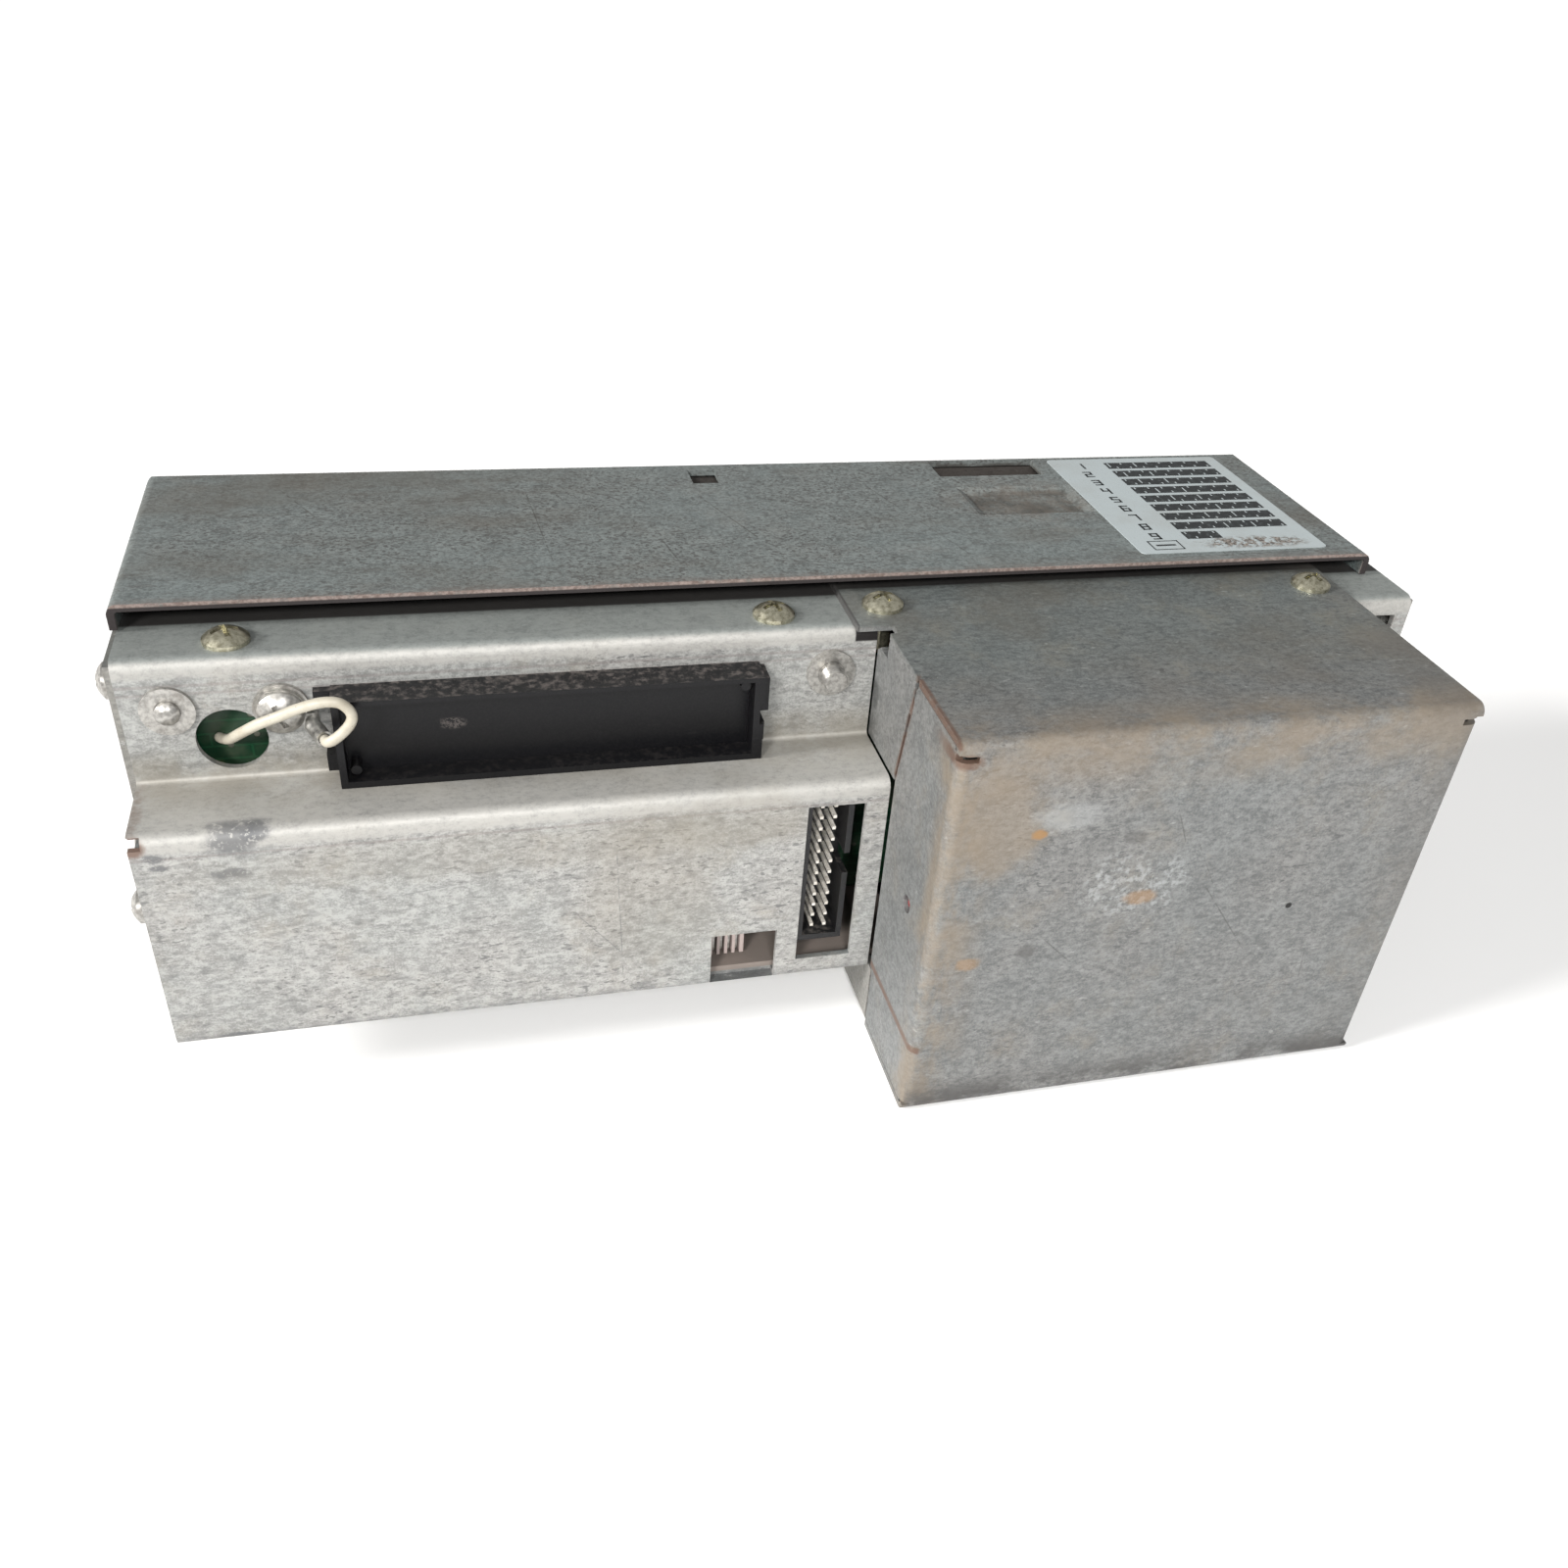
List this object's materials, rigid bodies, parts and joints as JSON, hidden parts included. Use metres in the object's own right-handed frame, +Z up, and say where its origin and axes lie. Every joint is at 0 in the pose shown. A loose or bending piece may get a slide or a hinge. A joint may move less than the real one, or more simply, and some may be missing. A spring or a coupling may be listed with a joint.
{
  "type": "servo drive",
  "caption": "Servo drive in a stepped folded-steel housing with a deep box cover, an option bay, a header window and setting windows in its lid.",
  "frame": {"origin": "middle of the whole object's bounding box, on the plane of its lowest face (underside of the deep box)", "axes": "+X along the housing from the left end to the terminal end, +Y from the front faces to the back wall, +Z up through the top cover"},
  "size_m": [0.2472, 0.1127, 0.0861],
  "materials": {
    "zinc_sheet": "satin",
    "cover_sheet": "satin",
    "box_sheet": "satin",
    "label_film": "matte",
    "bay_plastic": "matte",
    "wire_jacket": "satin",
    "tinned_copper": "satin",
    "gold_screw": "satin",
    "bright_steel": "satin",
    "board_green": "gloss",
    "brass_post": "satin",
    "header_plastic": "matte",
    "pin_gold": "gloss",
    "chip_epoxy": "matte",
    "switch_red": "matte",
    "slider_white": "matte",
    "trimmer_blue": "matte",
    "core_iron": "matte",
    "bobbin_plastic": "matte",
    "coil_copper": "gloss",
    "lamp_lens": "gloss",
    "capacitor_sleeve": "gloss",
    "sink_aluminium": "satin",
    "relay_case": "matte",
    "fuse_glass": "gloss"
  },
  "bodies": {
    "housing": {"chassis_pan": "zinc_sheet", "front_shell": "zinc_sheet", "top_cover": "cover_sheet", "left_end_plate": "zinc_sheet", "right_end_plate": "zinc_sheet", "right_front_bracket": "zinc_sheet", "inner_rail": "zinc_sheet", "lower_tray": "zinc_sheet", "box_cover": "box_sheet", "rating_label": "label_film", "option_bay": "bay_plastic", "jumper_wire": "wire_jacket", "wire_lug": "tinned_copper", "earth_screw": "gold_screw", "stud_washers": "bright_steel", "earth_studs": "bright_steel", "flange_screws": "gold_screw", "end_screws": "bright_steel", "under_screws": "bright_steel", "rear_screws": "bright_steel", "box_screws": "bright_steel", "control_board": "board_green", "power_board": "board_green", "inverter_board": "board_green", "board_spacers": "brass_post", "board_pillars": "brass_post", "header_housing": "header_plastic", "header_pins": "pin_gold", "side_socket": "header_plastic", "socket_contacts": "tinned_copper", "control_chips": "chip_epoxy", "setting_board": "board_green", "board_brackets": "bright_steel", "switch_body": "switch_red", "trimmer_body": "trimmer_blue", "transformer_core": "core_iron", "coil_bobbin": "bobbin_plastic", "transformer_coil": "coil_copper", "core_strap": "bright_steel", "charge_lamp": "lamp_lens", "lamp_board": "board_green", "bus_capacitors": "capacitor_sleeve", "heat_sink": "sink_aluminium", "power_transistors": "chip_epoxy", "relay": "relay_case", "fuse_holder": "bobbin_plastic", "fuse": "fuse_glass", "filter_choke": "coil_copper", "terminal_block": "header_plastic", "terminal_screws": "bright_steel", "clinch_nuts": "bright_steel"},
    "switch_slider_1": {"slider_1": "slider_white"},
    "switch_slider_2": {"slider_2": "slider_white"},
    "switch_slider_3": {"slider_3": "slider_white"},
    "switch_slider_4": {"slider_4": "slider_white"},
    "switch_slider_5": {"slider_5": "slider_white"},
    "switch_slider_6": {"slider_6": "slider_white"},
    "switch_slider_7": {"slider_7": "slider_white"},
    "switch_slider_8": {"slider_8": "slider_white"},
    "trimmer_dial": {"trimmer_rotor": "slider_white"}
  },
  "joints": [
    {"name": "switch_way_1", "type": "slide", "parent": "housing", "child": "switch_slider_1", "axis": [0, 1, 0], "range_m": [0, 0.0018]},
    {"name": "switch_way_2", "type": "slide", "parent": "housing", "child": "switch_slider_2", "axis": [0, 1, 0], "range_m": [0, 0.0018]},
    {"name": "switch_way_3", "type": "slide", "parent": "housing", "child": "switch_slider_3", "axis": [0, 1, 0], "range_m": [0, 0.0018]},
    {"name": "switch_way_4", "type": "slide", "parent": "housing", "child": "switch_slider_4", "axis": [0, 1, 0], "range_m": [0, 0.0018]},
    {"name": "switch_way_5", "type": "slide", "parent": "housing", "child": "switch_slider_5", "axis": [0, 1, 0], "range_m": [0, 0.0018]},
    {"name": "switch_way_6", "type": "slide", "parent": "housing", "child": "switch_slider_6", "axis": [0, 1, 0], "range_m": [0, 0.0018]},
    {"name": "switch_way_7", "type": "slide", "parent": "housing", "child": "switch_slider_7", "axis": [0, 1, 0], "range_m": [0, 0.0018]},
    {"name": "switch_way_8", "type": "slide", "parent": "housing", "child": "switch_slider_8", "axis": [0, 1, 0], "range_m": [0, 0.0018]},
    {"name": "trimmer_turn", "type": "hinge", "parent": "housing", "child": "trimmer_dial", "pos_m": [-0.01285, 0.04635, 0.077], "axis": [0, 0, 1], "range_deg": [-130, 130]}
  ]
}
